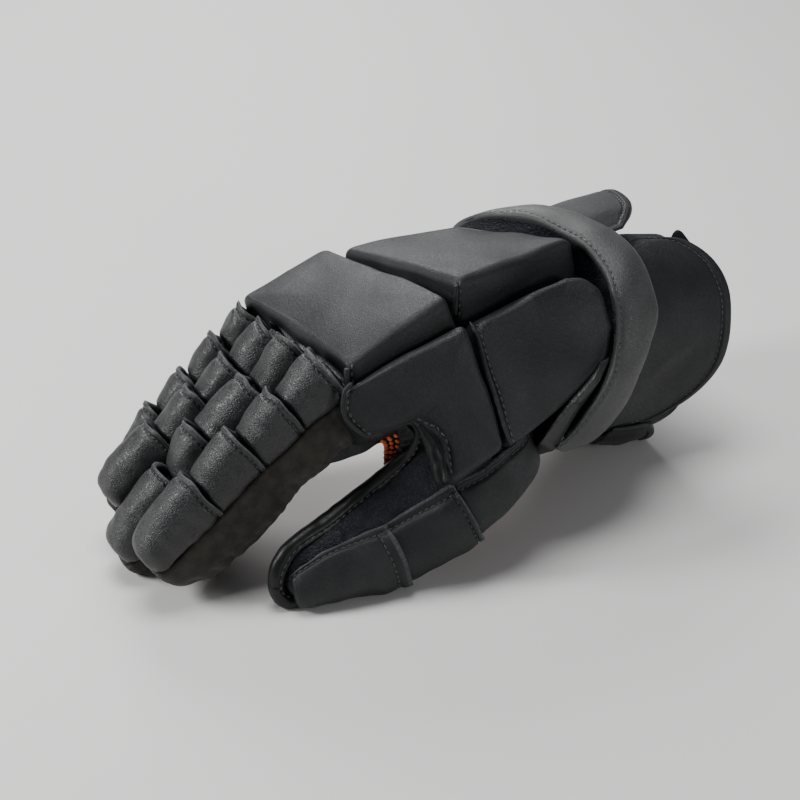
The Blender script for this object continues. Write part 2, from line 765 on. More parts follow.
def stall_rings(finger, s, wall, lift, pucker=0.0):
    mirrored = [(-side, up) for side, up in HALF_SECTION[-2:0:-1]]
    outline = closed_line(HALF_SECTION + mirrored, STALL["sides"])
    size = stall_size(s)[:, None]
    sag = np.interp(s, range(5), finger["sag"])[:, None]
    reach = np.where(outline[:, 1] < 0, finger["under"] + sag, finger["over"]) * size - wall
    side = outline[:, 0] * (finger["width"] / 2 * size - wall)
    up = outline[:, 1] * reach
    if pucker:
        near_seam = np.exp(-(((outline[:, 1] + SEAM_AT) / SEAM_WIDE) ** 2))
        lengthwise = 0.6 * np.sin(s * 17 + 2.2 * np.sin(s * 5.3)) + 0.5 * np.sin(s * 29 + 1.3)
        lengthwise = lengthwise * (0.25 + 0.75 * np.sin(s * 2.1 + 0.4) ** 2)
        tuck = near_seam * (pucker * lengthwise[:, None] - 0.9 * pucker)
        side = side + np.sign(outline[:, 0]) * tuck
        up = up - tuck * 0.5
    return on_table(sections(finger, s, side, up), lift)


def make_stall(name, finger):
    tip_from = STALL["tip_from"]
    tip = tip_from + 0.65 * np.linspace(0.02, 1, STALL["tip_rings"]) ** 0.6
    s = np.concatenate([np.linspace(0, tip_from, STALL["rings"] // 2), tip])
    inner_s = np.linspace(STALL["inner_end"], 0, STALL["inner_rings"])
    inner = stall_rings(finger, inner_s, STALL["wall"], STALL["wall"])
    piece = loft(f"{name}_suede", np.concatenate([inner, stall_rings(finger, s, 0, 0, pucker=0.8)]))
    ripple(piece, 16, 0.35, 11)
    return dress(piece, SUEDE, [f"{name}_stall"])


def stall_form(finger):
    """The stall filled and grown, to cut the palm clear of it."""
    s = np.concatenate([[-0.02], np.linspace(0, 3.5, 30), np.linspace(3.6, STALL["end"], 12)])
    return loft("stall_form", stall_rings(finger, s, -GAP, BELOW))


# %% [markdown]
# Each finger pad is foam under leather. Its proximal end rises to a lip where two layers are sewn together
# and stand up from the finger, with a dark hollow behind. The lip, the groove of its seam and the hollow
# are all in the profile that the arch follows, and the arch itself is fuller than a half circle.

# %% Finger pads
# A pad rises over the stall by its ridge at the lip and by its distal height at the far end. Its arc is the
# count of points across it.
PAD = {"distal": 6.0, "ridge": 11.5, "low_edge": 0.42, "stand_off": 0.8, "inset": 0.1, "arc": 44, "steps": 34}
LIP = {"wide": 2.0, "proud": 0.35, "groove": 0.75, "groove_wide": 0.5, "puff": 0.55}
# The hollow behind a lip, from its floor out: millimetres in from the lip's edge, and how far in from the
# skin.
HOLLOW = ((4.5, 4.2), (4.2, 3.0), (2.5, 2.3), (0.9, 1.9), (0.15, 1.5), (-0.1, 0.9), (0.0, 0.35))
STITCH_AT = 2.6  # millimetres from a lip's edge
# The last rings of a pad, and of a tip pad: millimetres from its end, and how far in from the skin.
PAD_END = 2.6  # millimetres from a pad's end where those rings begin
END_ROWS = ((1.8, 0.15), (1.1, 0.6), (0.7, 1.3), (0.6, 2.4))
TIP_ROWS = ((2, 0), (1.6, 0), (1.25, 0), (0.95, 0.03), (0.7, 0.06), (0.5, 0.1), (0.34, 0.18), (0.2, 0.3),
            (0.1, 0.5), (0.03, 0.8), (0, 1.2))
# A tip pad: where its sides and its top begin to round off, over what share of it, and how squarely.
TIP = {"sides": (0.8, 0.2, 2.4), "top": (0.55, 0.45, 2.2), "narrowest": 0.52, "lowest": 0.35, "drop": 0.7}
# The arch of a pad: how square it is across and upwards. Its seat is the stall's back, a little larger.
ARCH = {"across": 0.85, "up": 0.88, "raised": 0.6}
SEAT = {"of_stall": 1.02, "of_arch": 1.2, "shrinks": 0.4, "under_top": 1.5}
# A lip isn't straight: it moves along the finger by soft waves, which fade out behind it.
LIP_WAVES = {"height": 0.55, "size": 13, "first_seed": 40, "fades": (3, 14)}


def ramp(x, low, high):
    t = np.clip((x - low) / (high - low), 0, 1)
    return t * t * (3 - 2 * t)


def round_end(u, start, over, power):
    """1 up to a start, and then a rounded fall to 0."""
    return np.sqrt(1 - np.clip((u - start) / over, 0, 1) ** power)


def pad_profile(finger, number):
    """For each ring of a pad: place along the finger, share of full size, rise over the stall, and inset."""
    j = number - 1
    run = finger["lengths"][j]
    d = np.concatenate([np.linspace(0, 5, 16), np.linspace(5, run - PAD_END, PAD["steps"])[1:]])
    rows = [((GAP + deep) / run, inset) for deep, inset in HOLLOW]
    for x in d:
        skin = LIP["proud"] * (1 - ramp(x, LIP["wide"] - 0.5, LIP["wide"] + 0.3))
        skin -= LIP["groove"] * math.exp(-(((x - STITCH_AT) / LIP["groove_wide"]) ** 2))
        skin += LIP["puff"] * ramp(x, STITCH_AT, STITCH_AT + 3) * (1 - ramp(x, 8, run))
        rows.append(((GAP + x) / run, -skin))
    is_tip = number == len(finger["lengths"])
    rows += [((run - back) / run, inset) for back, inset in (TIP_ROWS if is_tip else END_ROWS)]
    u, inset = np.array(rows, float).T
    size = np.ones(len(u))
    rise = blend(PAD["ridge"], PAD["distal"], u) + 0.5 * np.sin(np.pi * np.clip(u, 0, 1))
    if is_tip:
        size = size * blend(TIP["narrowest"], 1.0, round_end(u, *TIP["sides"]))
        rise = rise * blend(TIP["lowest"], 1.0, round_end(u, *TIP["top"]))
        rise = rise + finger["over"] * (1 - size) * TIP["drop"]
    return j + u, size, rise, inset


def pad_rings(finger, s, size, rise, inset):
    a = np.linspace(0, np.pi, PAD["arc"])
    half_width = (finger["width"] / 2 * size - PAD["inset"] - inset)[:, None]
    low = (finger["over"] * (PAD["low_edge"] + ARCH["raised"] * (1 - size)))[:, None]
    top = (finger["over"] * size + rise - inset)[:, None]
    side = np.sign(np.cos(a)) * np.abs(np.cos(a)) ** ARCH["across"] * half_width
    up = low + np.sin(a) ** ARCH["up"] * (top - low)
    seat_half = np.array(HALF_SECTION[5:], float)
    seat = np.vstack([seat_half, seat_half[-2::-1] * [-1, 1]])
    seat = evenly(seat, PAD["arc"])[::-1]
    stall_half = finger["width"] / 2 * size[:, None] * SEAT["of_stall"]
    seat_side = seat[:, 0] * np.minimum(stall_half, half_width * SEAT["of_arch"])
    stall_back = seat[:, 1] * finger["over"] * size[:, None] ** SEAT["shrinks"]
    seat_up = np.minimum(stall_back + PAD["stand_off"], top - SEAT["under_top"])
    return sections(finger, s, np.hstack([side, seat_side]), np.hstack([up, seat_up]))


def lip_shift(rings, number):
    seed = LIP_WAVES["first_seed"] + number
    shift = LIP_WAVES["height"] * waves(rings.reshape(-1, 3), LIP_WAVES["size"], seed)
    return shift.reshape(rings.shape[:2])


def make_pad(name, finger, number):
    s, size, rise, inset = pad_profile(finger, number)
    rings = pad_rings(finger, s, size, rise, inset)
    along = -np.cross(*middle_line(finger, s)[1:])[:, None]
    from_lip = (s - number + 1)[:, None] * finger["lengths"][number - 1]
    rings = rings + along * (lip_shift(rings, number) * (1 - ramp(from_lip, *LIP_WAVES["fades"])))[..., None]
    near_lip = np.zeros(len(s))
    near_lip[3:9] = 0.9
    piece = loft(f"{name}_leather_{number}", rings, edge=near_lip[:, None])
    ripple(piece, 9, 0.22, 20 + number)
    return dress(piece, PEBBLED, [f"{name}_pad_{number}"])


def lip_line(finger, number):
    """The seam of a pad's lip, over the arch."""
    run = finger["lengths"][number - 1]
    s = np.array([number - 1 + (GAP + STITCH_AT) / run])
    rise = np.array([blend(PAD["ridge"], PAD["distal"], s[0] - number + 1)])
    ring = pad_rings(finger, s, np.ones(1), rise, np.array([LIP["groove"] - 0.5]))
    ring = ring[0] - np.cross(*middle_line(finger, s)[1:]) * lip_shift(ring, number).reshape(-1, 1)
    return evenly(ring[2:PAD["arc"] - 2], 90)


for name, finger in FINGERS.items():
    make_stall(name, finger)
    pads = [make_pad(name, finger, number) for number in range(1, 5)]
    lips = [lip_line(finger, number) for number in range(1, 5)]
    stitch(f"{name}_stitches", lips, spacing=2.6, length=1.8, radius=0.36, on=pads)

# %% [markdown]
# The palm and the wrist are tubes of leather. Their cross-section is a superellipse, squarer than an
# ellipse, as padding makes a hand. The palm is cut where the fingers and the thumb come out of it.

# %% Palm and sleeve
HAND = table(
    "x y z left right down up slant tilt",
    (-42, 3, 78.6, 51, 51, 18, 16.5, 36, 0.12),
    (-24, 2, 77, 50, 49, 19, 17, 22, 0.1),
    (-4, 0, 74, 50, 47, 24, 22, 8, 0.12),
    (18, 0, 70, 52, 45, 29, 27, 0, 0.1),
    (40, 1, 66, 47, 43, 32, 31, 0, 0.05),
    (54, 2, 62.5, 42, 42, 33.5, 33.5, 0, 0),
    (62, 2, 62, 42.6, 42.4, 35.8, 34.7, 0, 0),
)
SLEEVE = table(
    "x y z left right down up slant tilt",
    (56, 2, 62, 45, 45, 37, 37, 0, 0),
    (85, 8, 57, 45, 44, 44, 43, 0, 0),
    (110, 13.5, 52, 43.5, 44, 49.5, 48, 0, 0),
    (126, 16.5, 50, 42.5, 44, 48.5, 49.5, -7, 0),
    (140, 17.5, 48.5, 42, 43, 47.5, 48.5, -14, 0),
)
SQUARENESS = 2.35
# How far the bare sleeve lies under the cuff, row by row.
DRAWN_IN = {"right": (0, 0, 2, 4.5, 5.5), "up": (0, 0, 2.5, 5.5, 6)}
WALL = 2.2
SLEEVE_LIFT = 3.2  # the sleeve's height over the table where the cuff lies flat


def shell_rings(rows, grow, lift, sides=176):
    """Rings of a shell at every row, with points spread evenly round the flat forms."""
    a = np.linspace(0, 2 * np.pi, sides, endpoint=False)
    c, s = np.cos(a), np.sin(a)
    column = {name: values[:, None] for name, values in rows.items()}
    across = np.where(c < 0, column["left"], column["right"]) + grow
    rise = np.where(s < 0, column["down"], column["up"]) + grow
    y = np.sign(c) * np.abs(c) ** (2 / SQUARENESS) * across
    up = np.sign(s) * np.abs(s) ** (2 / SQUARENESS) * rise
    return on_table(stand(column, y, up), lift)


def stand(column, y, up):
    """Points of a leaning section, from their distances across and up from its middle."""
    slant = np.radians(column["slant"])
    z = column["z"] + up * np.cos(slant) - column["tilt"] * y
    return np.stack([column["x"] - up * np.sin(slant), column["y"] + y, z + 0 * y], -1)


def shell_at(rows, degrees, grow):
    """Points at true angles round a shell, one for each row."""
    a = np.radians(degrees)
    c, s = np.cos(a), np.sin(a)
    across = np.where(c < 0, rows["left"], rows["right"]) + grow
    rise = np.where(s < 0, rows["down"], rows["up"]) + grow
    reach = (np.abs(c / across) ** SQUARENESS + np.abs(s / rise) ** SQUARENESS) ** (-1 / SQUARENESS)
    return stand(rows, c * reach, s * reach)


def section_at(rows, x):
    """The section of a shell at any x, blended straight between the rows of its table."""
    x = np.asarray(x, float)
    i = np.clip(np.searchsorted(rows["x"], x) - 1, 0, len(rows["x"]) - 2)
    t = (x - rows["x"][i]) / (rows["x"][i + 1] - rows["x"][i])
    return {name: blend(values[i], values[i + 1], t) for name, values in rows.items()}


def make_shell(name, rows, lift):
    fine = finer(rows, 60)
    outer = shell_rings(fine, 0, lift)
    inner = shell_rings(fine, -WALL, lift + WALL)[::-1]
    return loft(name, np.concatenate([outer, inner]), ends="loop")


def shell_form(name, rows, grow):
    """The same form filled and grown, to cut what lies on it."""
    return loft(name, shell_rings(finer(rows, 40), grow, BELOW))


hand_form = shell_form("hand_form", HAND, GAP)
sleeve_form = shell_form("sleeve_form", SLEEVE, GAP)
stall_forms = [stall_form(finger) for finger in FINGERS.values()]

# %% [markdown]
# The thumb is a flat tube whose broad outer side carries three pads. Its section is given by the middle of
# its lower and upper edge, and the angle round it starts on the side that faces away from the hand.

# %% Thumb
THUMB_LOW = [(47, -40, 50), (36, -60, 44.5), (23, -68.5, 35.5), (8, -69.5, 25.5), (-6, -67.5, 15.5),
             (-27, -65, 4.5), (-50, -63.5, 3.4), (-70, -61, 3.4), (-78, -60, 4.5)]
THUMB_HIGH = [(37, -32, 76), (20, -44, 78), (4, -47, 77), (-10, -48, 71), (-20, -48, 57),
              (-33, -45.5, 40), (-53, -47, 30), (-73, -52, 24), (-81, -55, 17)]
THUMB_THICK = [26, 24, 22, 22, 22, 22, 21, 17, 11]
THUMB_TIP = np.array([-84, -57, 10.0])
# The last rings: their shares of the way to the tip, and how far they reach out along it.
TIP_SHARES, TIP_REACH = (0.35, 0.65, 0.9), 1.15
THUMB_LIFT = 3.0


def thumb_points(u, degrees, grow):
    """Points on the thumb. u runs from 0 at its mouth to 8 near its tip, and 0 degrees faces away from the
    hand."""
    u, grow = np.asarray(u, float), np.asarray(grow, float)
    low, high = through(THUMB_LOW, u), through(THUMB_HIGH, u)
    thick = through(THUMB_THICK, u)
    half = np.linalg.norm(high - low, axis=-1) / 2 + grow
    rise = unit(high - low)
    out = unit(np.array([0, -1.0, 0]) + rise * rise[..., 1:2])
    a = np.radians(degrees)
    c, s = np.cos(a), np.sin(a)
    across = np.sign(c) * np.abs(c) ** 0.8 * (thick / 2 + grow)
    along = np.sign(s) * np.abs(s) ** 0.9 * half
    return (low + high) / 2 + out * across[..., None] + rise * along[..., None]


def thumb_rings(u, grow, lift, sides=120):
    angles = np.linspace(0, 360, sides, endpoint=False)
    return on_table(thumb_points(u[:, None] + 0 * angles, angles + 0 * u[:, None], grow), lift)


def make_thumb():
    outer_u = np.linspace(0, 8, 70)
    rings = [thumb_rings(outer_u[::-1], -WALL, THUMB_LIFT + WALL)[4:], thumb_rings(outer_u, 0, THUMB_LIFT)]
    last = rings[1][-1]
    tip = blend(last, THUMB_TIP, np.array(TIP_SHARES)[:, None, None])
    tip[..., 0] = last[..., 0] + (tip[..., 0] - last[..., 0]) * TIP_REACH
    piece = loft("thumb_leather", np.concatenate([*rings, tip]))
    return dress(piece, PEBBLED, ["thumb_stall"])


def thumb_form(grow):
    return loft("thumb_form", thumb_rings(np.linspace(0, 8, 50), grow, BELOW))


thumb_clear = thumb_form(GAP)
make_thumb()
palm = carve(make_shell("palm_leather", HAND, 0), thumb_clear, *stall_forms)
dress(ripple(palm, 18, 0.5, 3), PEBBLED, ["palm_shell"])
sleeve_rows = {key: values - np.array(DRAWN_IN.get(key, 0.0)) for key, values in SLEEVE.items()}
sleeve = make_shell("sleeve_cloth", sleeve_rows, SLEEVE_LIFT)
dress(ripple(sleeve, 22, 0.4, 4), LINING, ["wrist_sleeve"])

# %% [markdown]
# The thumb's three pads lie one behind another along its outer side. Each is a low pillow with a raw cut edge
# where its two layers are sewn: along the top seam, and as a thin lip at its proximal end.

# %% Thumb pads
THUMB_PADS = table(
    "low high to ridge tip",
    (4.95, 5.2, 8.12, 4.6, 3),
    (3.2, 3.5, 5.3, 4.0, 2.2),
    (0.75, 0.9, 3.6, 2.4, 2.0),
)
THUMB_SEAM = ((0.7, -14), (2.6, -8), (3.7, 3), (5.2, 14), (6.5, 20), (8, 24))  # place along it, degrees
THUMB_PAD = {"low": -100, "edge": 1.2, "seat": 0.8, "fullness": 0.45}
# Stitched grooves: across a pad behind its lip, and along its seam. Shares of its length or breadth.
LIP_GROOVE = {"at": 0.085, "wide": 0.016, "deep": 0.9}
SEAM_GROOVE = {"at": 0.93, "wide": 0.02, "deep": 0.9}
TUCKED = 1.8  # how far a pad's far end dips under the next one


def groove(place, form):
    return form["deep"] * np.exp(-(((place - form["at"]) / form["wide"]) ** 2))


def seam_angle(u):
    return np.interp(u, *zip(*THUMB_SEAM))


def along_thumb_pad(number, t, a):
    """Place along the thumb. A pad's lip lies aslant, with its lower end nearer to the wrist."""
    low, high, end = (THUMB_PADS[key][number - 1] for key in ("low", "high", "to"))
    return blend(blend(low, high, a), end, t)


def thumb_pad_skin(number, t, a, extra=0.0):
    """Points on a thumb pad: t runs from its lip to its tip, and a from its lower edge to its seam."""
    ridge, tip = (THUMB_PADS[key][number - 1] for key in ("ridge", "tip"))
    t, a = np.broadcast_arrays(t, a)
    u = along_thumb_pad(number, t, a)
    arch = np.sin(np.pi * np.clip(a, 0, 1))
    lift = THUMB_PAD["seat"] + THUMB_PAD["edge"] + blend(ridge, tip, t) * arch ** THUMB_PAD["fullness"]
    tucked = TUCKED * ramp(t, 0.93, 1.0)
    lip = 0.25 * (1 - ramp(t, 0.05, 0.07)) - groove(t, LIP_GROOVE)
    if number == 3:
        lip = -4.5 * (1 - np.sqrt(np.clip(1 - (1 - np.clip(t / 0.16, 0, 1)) ** 2, 0, 1)))
    bulge = 0.5 * ramp(t, 0.09, 0.25) * (1 - ramp(t, 0.3, 0.9))
    skin = lift + (lip + bulge - tucked) * arch ** 0.3 - groove(a, SEAM_GROOVE) + extra
    return on_table(thumb_points(u, blend(THUMB_PAD["low"], seam_angle(u), a), skin))


def make_thumb_pad(number):
    t = np.concatenate([np.linspace(0, 0.14, 18), np.linspace(0.155, 0.9, 34), np.linspace(0.92, 1, 8)])
    a = np.concatenate([np.linspace(0, 0.86, 50), np.linspace(0.875, 1, 22)])
    across = len(a)
    t, a = t[:, None], a[None, :]
    u = along_thumb_pad(number, t, a)
    outer = thumb_pad_skin(number, t, a)
    angles = blend(THUMB_PAD["low"], seam_angle(u), a)
    inner = on_table(thumb_points(u, angles, THUMB_PAD["seat"] + 0 * u), THUMB_LIFT - THUMB_PAD["seat"])
    raw = np.zeros((len(t), 2 * across))
    if number < 3:
        raw[:4] = 0.8
    raw[:, across - 4:across + 6] = 1.0
    piece = skin_and_back(f"thumb_pad_leather_{number}", outer, inner, edge=raw)
    ripple(piece, 14, 0.3, 30 + number)
    return dress(piece, SMOOTH, [f"thumb_pad_{number}"])


thumb_seams = []
thumb_pads = [make_thumb_pad(number) for number in (1, 2, 3)]
for number in (1, 2, 3):
    thumb_seams.append(thumb_pad_skin(number, np.linspace(0.03, 0.97, 80), SEAM_GROOVE["at"], 0.1))
    if number < 3:
        thumb_seams.append(thumb_pad_skin(number, LIP_GROOVE["at"], np.linspace(0.05, 0.92, 80), 0.1))
stitch("thumb_pad_stitches", thumb_seams,
       spacing=2.9, length=2.0, radius=0.36, on=thumb_pads)

# %% [markdown]
# A dark panel lies between the pads and the binding. The binding is a thick roll of leather along the thumb's
# upper edge. A roll is a circle swept along a curve, with the circle kept square to the curve.

# %% Binding, inner panel and leg roll
BINDING_PATH = [(-60, -62, 3.7), (-73, -61.5, 3.6), (-81, -60.5, 3.9), (-85.5, -59.5, 9.5), (-85, -59.5, 18),
                (-79, -57.5, 25.5), (-70.8, -55.5, 29.2), (-60.3, -52.5, 31.4), (-48.9, -50, 35),
                (-38.5, -49, 40), (-28.6, -51, 48.6), (-21.2, -54, 56), (-18.6, -57, 63),
                (-18.9, -58.5, 69.8), (-21.6, -58.5, 74.8), (-25.5, -56.5, 76.5)]
BINDING_SKIN = 3.7  # millimetres from the path to the binding's seams
BINDING_RADIUS = (*[3.8] * 11, 3.6, 2.5, 1.3, 0.9)
LEG_PATH = [(-20.9, -62, 76), (-18.3, -64, 72.3), (-16.5, -67.5, 67.7), (-16.2, -71.5, 62.6),
            (-16.6, -75, 57.8), (-17, -77, 54)]
LEG_RADIUS = (0.8, 1.9, 2.7, 3.1, 3.2, 3.1)
PANEL = {"from": 2.2, "to": 7.95, "under_seam": -4, "high": 66, "thick": 1.0}


def along_path(path, count):
    """count points evenly spaced on a smooth path, and the way that it runs there."""
    line = evenly(spread(path, 400), count)
    return line, unit(np.gradient(line, axis=0))


def roll_rings(path, radius, steps, sides=28, drawn_in=0.012):
    """Circles along a smooth path, small at both ends."""
    line, along = along_path(path, steps)
    side = unit(np.cross([0, 0, 1.0], along))
    up = np.cross(along, side)
    a = np.linspace(0, 2 * np.pi, sides, endpoint=False)
    t = np.linspace(0, 1, steps)
    end = np.minimum(t, 1 - t) / drawn_in
    radius = np.interp(t, np.linspace(0, 1, np.size(radius)), np.atleast_1d(radius))
    size = radius * np.sqrt(np.clip(1 - (1 - np.clip(end, 0, 1)) ** 2, 0.02, 1))
    ring = side[:, None] * np.cos(a)[:, None] + up[:, None] * np.sin(a)[:, None]
    return on_table(line[:, None] + ring * size[:, None, None])


def make_panel():
    u = np.linspace(PANEL["from"], PANEL["to"], 110)[:, None]
    across = np.linspace(0, 1, 70)
    angles = blend(seam_angle(u) + PANEL["under_seam"], PANEL["high"], across)
    u = u + 0 * across
    crosswise = 0.3 * np.sin(u * 34 + 1.6 * np.sin(across * 5) + 2.0 * np.sin(u * 4.7))
    crosswise = crosswise * np.clip(0.4 + 0.6 * np.sin(u * 2.3 + across * 3), 0, 1)
    outer = thumb_points(u, angles, 2 * GAP + PANEL["thick"] + crosswise)
    inner = thumb_points(u, angles, GAP + 0 * u)
    return skin_and_back("thumb_panel", outer, inner)


binding_form = loft("binding_form", roll_rings(BINDING_PATH, BINDING_SKIN + GAP, 60))
leg_form = loft("leg_form", roll_rings(LEG_PATH, 2.2, 30))
panel = carve(make_panel(), binding_form, leg_form, hand_form)
dress(ripple(panel, 7, 0.3, 41), NAVY, ["thumb_inner_panel"])


VIEWER = np.array([-0.366, -0.785, 0.5])  # the way to the camera
STITCHED, RIDGE = 38, 62  # degrees round the binding to its stitched groove and to the ridge above it


def binding_seam(turn, count=300):
    """A line along the binding, turned by so many degrees round it from its outer side."""
    line, along = along_path(BINDING_PATH, count)
    towards = unit(np.cross(along, VIEWER))
    facing = np.cross(towards, along)
    a = math.radians(turn)
    return line + BINDING_SKIN * (facing * math.cos(a) + towards * math.sin(a))


binding = loft("thumb_binding_roll", roll_rings(BINDING_PATH, BINDING_RADIUS, 300, sides=48))
press(binding, binding_seam(STITCHED)[8:-4], 0.45, 0.6)
press(binding, binding_seam(RIDGE)[8:-4], -0.35, 0.5)
ripple(binding, 7, 0.12, 42)
dress(binding, BINDING, ["thumb_binding"])
stitch("binding_stitches", [binding_seam(STITCHED)[30:-12]],
       spacing=3.4, length=2.1, radius=0.42, on=[binding])
leg_roll = loft("leg_roll_leather", roll_rings(LEG_PATH, LEG_RADIUS, 90))
ripple(carve(leg_roll, thumb_clear, hand_form), 6, 0.15, 43)
dress(leg_roll, BINDING, ["leg_roll"])

# %% [markdown]
# The blocks on the back of the hand are foam under tight leather: upright sides, round shoulders and a top
# that swells a little. The top could be a plain dome, but a rim that rises and falls would crease it. So a
# simple curved surface is fitted to the rim's heights first, and what the rim has over it fades towards the
# middle.

# %% Blocks
BLOCKS = {
    "knuckle_block": {
        "outline": [(-45, -45, 101), (-50, 4, 97), (-55, 52, 91), (-33, 54, 99), (-12, 55, 105),
                    (-4, 6, 114), (3, -42, 121), (-21, -43.5, 112)],
        "heart": (-26, 5, 107.5), "inward": (0.25, 0, -0.97),
        "thick": 26, "flare": 1, "corner": 4, "crown": 0.9},
    "back_block": {
        "outline": [(11, -35, 123), (2, 5, 116.5), (-7, 45, 108), (22, 46, 108), (50, 46, 107),
                    (64, 16, 114.5), (76, -15, 121), (44, -25, 123)],
        "heart": (33, 8, 117.5), "inward": (0.1, 0, -1),
        "thick": 30, "flare": 3, "corner": 4, "crown": 0.9},
    "side_block": {
        "outline": [(-48, -50, 93), (-20, -49, 103), (7, -49, 111), (11.5, -64, 87), (13, -77.5, 64),
                    (0, -78, 59), (-11, -78, 53), (-15, -69, 64), (-21, -61, 76), (-34, -57.5, 73.5),
                    (-43, -55, 72), (-50, -52, 81)],
        "heart": (-6, -61, 88), "inward": (0.12, 0.75, -0.66),
        "thick": 20, "flare": 0, "corner": 3, "crown": 2.2},
    "wrist_gusset": {
        "outline": [(72, -54, 81), (78, -52, 80.5), (69, -58.5, 74.5), (55.5, -64.5, 62.5),
                    (42.5, -69, 50.2), (34, -70, 57), (52, -63, 71)],
        "heart": (55, -63.5, 68), "inward": (0, 0.8, -0.6),
        "thick": 26, "flare": 0, "corner": 2, "crown": 1.0},
    "wrist_block": {
        "outline": [(12, -46, 109), (44, -39, 113), (66, -32, 113), (75, -32, 111.5), (80.5, -38, 107),
                    (82, -47, 92), (77, -52, 79), (45, -66.5, 69), (15.5, -78, 63), (14, -62, 85)],
        "heart": (46, -53, 91), "inward": (-0.05, 0.75, -0.66),
        "thick": 20, "flare": 0, "corner": 7, "crown": 2.2},
}
SHOULDER = 4.0  # radius of a block's upper edge
BULGE = 0.5  # how far a block's sides swell, in millimetres
# The fitted top: its unit of length, how fast what the rim has over it fades, and how round its crown is.
TOP = {"span": 40, "fades": 3, "crown": 2.4}
STRAIGHT = 150  # degrees between two edges above which their corner isn't rounded


def softened(outline, corner, count=330):
    """The closed outline with small round corners, as evenly spaced points."""
    outline = np.array(outline, float)
    points = []
    for here, before, after in zip(outline, np.roll(outline, 1, 0), np.roll(outline, -1, 0)):
        back, on = before - here, after - here
        angle = math.degrees(math.acos(np.clip(unit(back) @ unit(on), -1, 1)))
        if angle > STRAIGHT:
            points.append(here)
            continue
        a = here + unit(back) * min(corner, np.linalg.norm(back) / 3)
        b = here + unit(on) * min(corner, np.linalg.norm(on) / 3)
        points += [(1 - t) ** 2 * a + 2 * t * (1 - t) * here + t**2 * b for t in np.linspace(0, 1, 7)]
    points = np.array(points + points[:1])
    return evenly(points, count + 1)[:-1]


def top_surface(rim, heart, down, crown, rings=46):
    """Rings from a block's rim to its heart, on a quadratic surface fitted to the rim's heights."""
    first = unit(np.cross(down, [0, 1.0, 0]))
    second = np.cross(down, first)

    def terms(points):
        a, b = (points - heart) @ first / TOP["span"], (points - heart) @ second / TOP["span"]
        return np.stack([np.ones_like(a), a, b, a * a, a * b, b * b], -1)

    height = -(rim - heart) @ down
    fitted, *_ = np.linalg.lstsq(terms(rim), height, rcond=None)
    extra = height - terms(rim) @ fitted
    flat_rim = rim + height[:, None] * down
    top = []
    for t in np.linspace(0, 0.975, rings):
        flat = blend(flat_rim, heart, t)
        up = terms(flat) @ fitted + extra * (1 - t) ** TOP["fades"] + crown * (1 - (1 - t) ** TOP["crown"])
        top.append(flat - up[:, None] * down)
    return top


def block_rings(block, grow=0.0):
    heart = np.array(block["heart"], float)
    down = unit(np.array(block["inward"], float))
    edge = softened(block["outline"], block["corner"])
    centre = heart - edge
    level = unit(centre - (centre @ down)[:, None] * down)

    def ring(depth, inset):
        return edge + level * (inset - grow) + down * (depth - grow)

    foot = block["thick"] + 12 * grow
    sides = [ring(blend(foot, SHOULDER, t), -block["flare"] * (1 - 0.7 * t) - BULGE * math.sin(math.pi * t))
             for t in np.linspace(0, 0.96, 12)]
    turns = np.radians(np.linspace(4, 88, 9))
    flare = block["flare"] * 0.3
    shoulder = [ring(SHOULDER * (1 - math.sin(a)), SHOULDER * (1 - math.cos(a)) - flare * math.cos(a))
                for a in turns]
    return np.array([*sides, *shoulder[:-1], *top_surface(shoulder[-1], heart, down, block["crown"])])


def make_block(name, *tools):
    piece = loft(f"{name}_leather", block_rings(BLOCKS[name]))
    return carve(piece, *tools)


def first_pad_form(finger):
    s, size, rise, inset = pad_profile(finger, 1)
    return loft("pad_form", pad_rings(finger, s, size, rise, inset - GAP))


first_pads = [first_pad_form(finger) for finger in FINGERS.values()]
block_forms = {name: loft(f"{name}_form", block_rings(block, GAP)) for name, block in BLOCKS.items()}
under = [hand_form, sleeve_form, thumb_clear, *stall_forms]


def block_wear(normal):
    """Soft waves on the tops of the blocks, less on their sides."""
    return 0.35 + 0.65 * np.clip(normal[:, 2], 0, 1)


# Folded seams: the block, the line of the fold, and its radius.
FOLDS = {
    "back_block": ([(10.5, -34.5, 121.5), (10.5, -35.5, 117), (9.5, -36.5, 108)], 1.1),
    "knuckle_block": ([(-45, -44.5, 100), (-45.5, -45.5, 96), (-44.5, -46, 88)], 1.3),
    "side_block": ([(-44.5, -49.5, 95.5), (-48.5, -50.5, 91.5), (-50, -52.3, 84), (-48, -53.6, 78),
                    (-42.5, -55.5, 72)], 1.0),
    "wrist_block": ([(11, -46, 109.5), (12.3, -51, 103.5), (13.4, -61, 88), (14.4, -71, 73.5),
                     (16, -77.5, 64.5)], 1.0),
}
LEG_SEAM = [(-19.7, -62, 77.6), (-13.7, -64, 73.8), (-10.5, -67, 69.2), (-10.6, -71, 63.4),
            (-11.3, -75, 56.5)]
